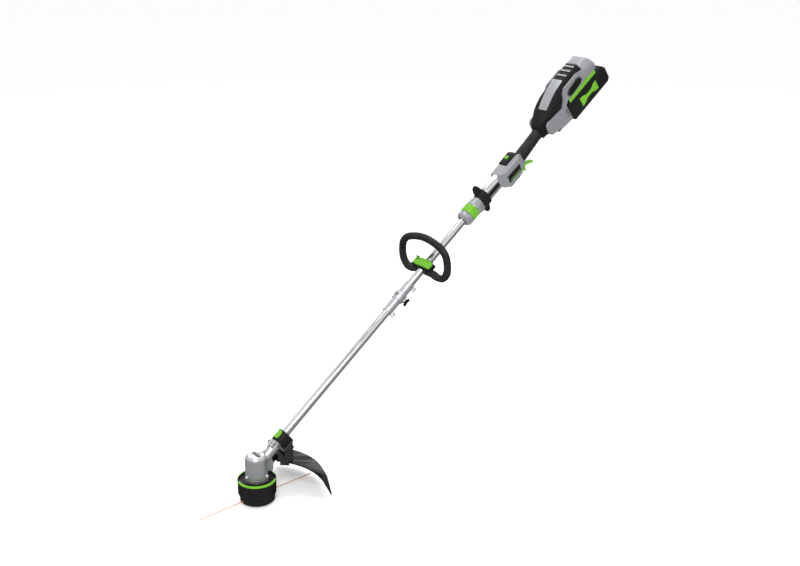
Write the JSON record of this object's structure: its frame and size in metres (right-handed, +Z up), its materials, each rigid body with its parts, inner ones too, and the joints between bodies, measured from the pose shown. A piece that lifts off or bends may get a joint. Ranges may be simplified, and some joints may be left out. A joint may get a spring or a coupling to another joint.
{
  "type": "string trimmer",
  "caption": "Battery string trimmer: cutting head with guard, split telescoping shaft, loop handle, trigger grip and a slide-on battery pack at the rear.",
  "frame": {"origin": "centre of the strap hanger's upper eye, where a shoulder strap's hook holds the trimmer", "axes": "+X horizontal from the cutting head towards the battery, +Y to the left of a person holding it, +Z up and parallel to the cutting head's spin axis; the shaft rises at 36.9 degrees from +X"},
  "size_m": [1.6995, 0.2887, 1.2328],
  "materials": {
    "green_plastic": "satin",
    "black_plastic": "matte",
    "satin_black": "satin",
    "rubber_grip": "matte",
    "silver_plastic": "satin",
    "tube_aluminium": "satin",
    "cast_aluminium": "satin",
    "steel": "satin",
    "stator_steel": "matte",
    "cell_can": "satin",
    "line_nylon": "satin",
    "circuit_board": "satin"
  },
  "bodies": {
    "handle": {"outer_tube": "tube_aluminium", "side_inserts": "black_plastic", "strap_hanger": "black_plastic", "collar_cap": "silver_plastic", "collar_sleeve": "silver_plastic", "collet": "black_plastic", "trigger_housing_left": "silver_plastic", "trigger_housing_right": "silver_plastic", "trigger_top_cover": "black_plastic", "badge_plates": "satin_black", "trigger_switch": "black_plastic", "grip": "rubber_grip", "rear_housing_left": "black_plastic", "rear_housing_right": "black_plastic", "rear_frame": "silver_plastic", "top_panel": "silver_plastic", "terminal_block": "black_plastic", "controller": "circuit_board", "housing_screws": "steel"},
    "upper_shaft": {"upper_tube": "tube_aluminium", "coupler_body": "cast_aluminium", "coupler_bolts": "steel", "upper_socket": "black_plastic"},
    "lock_ring": {"lock_ring": "green_plastic"},
    "loop_handle": {"loop_handle": "black_plastic", "handle_clamp_cap": "black_plastic"},
    "clamp_lever": {"clamp_lever": "green_plastic"},
    "wing_knob": {"wing_knob": "black_plastic"},
    "release_button": {"release_button": "steel"},
    "lower_shaft": {"lower_tube": "tube_aluminium", "lower_plug": "black_plastic", "motor_housing": "cast_aluminium", "motor_base": "cast_aluminium", "stator": "stator_steel", "motor_bearings": "steel", "motor_screws": "steel", "guard_bracket": "black_plastic", "bracket_cap": "green_plastic", "guard_plate": "steel", "guard": "satin_black", "guard_screws": "steel", "line_blade": "steel"},
    "cutting_head": {"head_housing": "black_plastic", "arrow_ring": "green_plastic", "spool_cover": "black_plastic", "line_eyelets": "steel", "cutting_line": "line_nylon", "motor_spindle": "steel", "spindle_nut": "steel", "rotor": "steel"},
    "spool": {"spool": "satin_black", "line_winding": "line_nylon", "bump_spring": "steel"},
    "bump_knob": {"bump_knob": "satin_black"},
    "trigger": {"trigger": "green_plastic"},
    "lock_button": {"lock_button": "green_plastic"},
    "battery": {"battery_case": "black_plastic", "battery_trim": "green_plastic", "battery_cells": "cell_can"},
    "battery_button": {"battery_button": "black_plastic"}
  },
  "joints": [
    {"name": "telescope_slide", "type": "slide", "parent": "handle", "child": "upper_shaft", "axis": [0.7997, 0, 0.6004], "range_m": [0, 0.1]},
    {"name": "lock_ring_turn", "type": "hinge", "parent": "handle", "child": "lock_ring", "pos_m": [-0.02156, 0, -0.07621], "axis": [0.7997, 0, 0.6004], "range_deg": [0, 90]},
    {"name": "loop_handle_slide", "type": "slide", "parent": "upper_shaft", "child": "loop_handle", "axis": [0.7997, 0, 0.6004], "range_m": [-0.04, 0.04]},
    {"name": "clamp_lever_lift", "type": "hinge", "parent": "loop_handle", "child": "clamp_lever", "pos_m": [-0.23049, 0.034, -0.20932], "axis": [-0.7997, 0, -0.6004], "range_deg": [0, 100]},
    {"name": "wing_knob_turn", "type": "hinge", "parent": "upper_shaft", "child": "wing_knob", "pos_m": [-0.32704, 0, -0.30557], "axis": [0.4246, -0.7071, -0.5655], "continuous": true},
    {"name": "release_button_press", "type": "slide", "parent": "upper_shaft", "child": "release_button", "axis": [0.6004, 0, -0.7997], "range_m": [0, 0.0025], "stiffness_N_per_m": 600, "springref_m": -0.002},
    {"name": "lower_shaft_detach", "type": "slide", "parent": "upper_shaft", "child": "lower_shaft", "axis": [-0.7997, 0, -0.6004], "range_m": [0, 0.1]},
    {"name": "head_spin", "type": "hinge", "parent": "lower_shaft", "child": "cutting_head", "pos_m": [-0.89641, 0, -0.82867], "axis": [0, 0, 1], "continuous": true},
    {"name": "spool_turn", "type": "hinge", "parent": "cutting_head", "child": "spool", "pos_m": [-0.89641, 0, -0.82267], "axis": [0, 0, 1], "continuous": true},
    {"name": "bump_press", "type": "slide", "parent": "spool", "child": "bump_knob", "axis": [0, 0, 1], "range_m": [0, 0.004], "stiffness_N_per_m": 900, "springref_m": -0.006, "deforming": ["bump_spring"]},
    {"name": "trigger_pull", "type": "hinge", "parent": "handle", "child": "trigger", "pos_m": [0.19578, 0, 0.0457], "axis": [0, -1, 0], "range_deg": [0, 10], "stiffness_Nm_per_rad": 1.2, "springref_deg": -8.59},
    {"name": "lock_button_press", "type": "slide", "parent": "handle", "child": "lock_button", "axis": [0.6004, 0, -0.7997], "range_m": [0, 0.0035], "stiffness_N_per_m": 500, "springref_m": -0.002},
    {"name": "battery_slide", "type": "slide", "parent": "handle", "child": "battery", "axis": [0.7997, 0, 0.6004], "range_m": [0, 0.19]},
    {"name": "battery_button_press", "type": "slide", "parent": "handle", "child": "battery_button", "axis": [-0.6004, 0, 0.7997], "range_m": [0, 0.003], "stiffness_N_per_m": 600, "springref_m": -0.002}
  ]
}
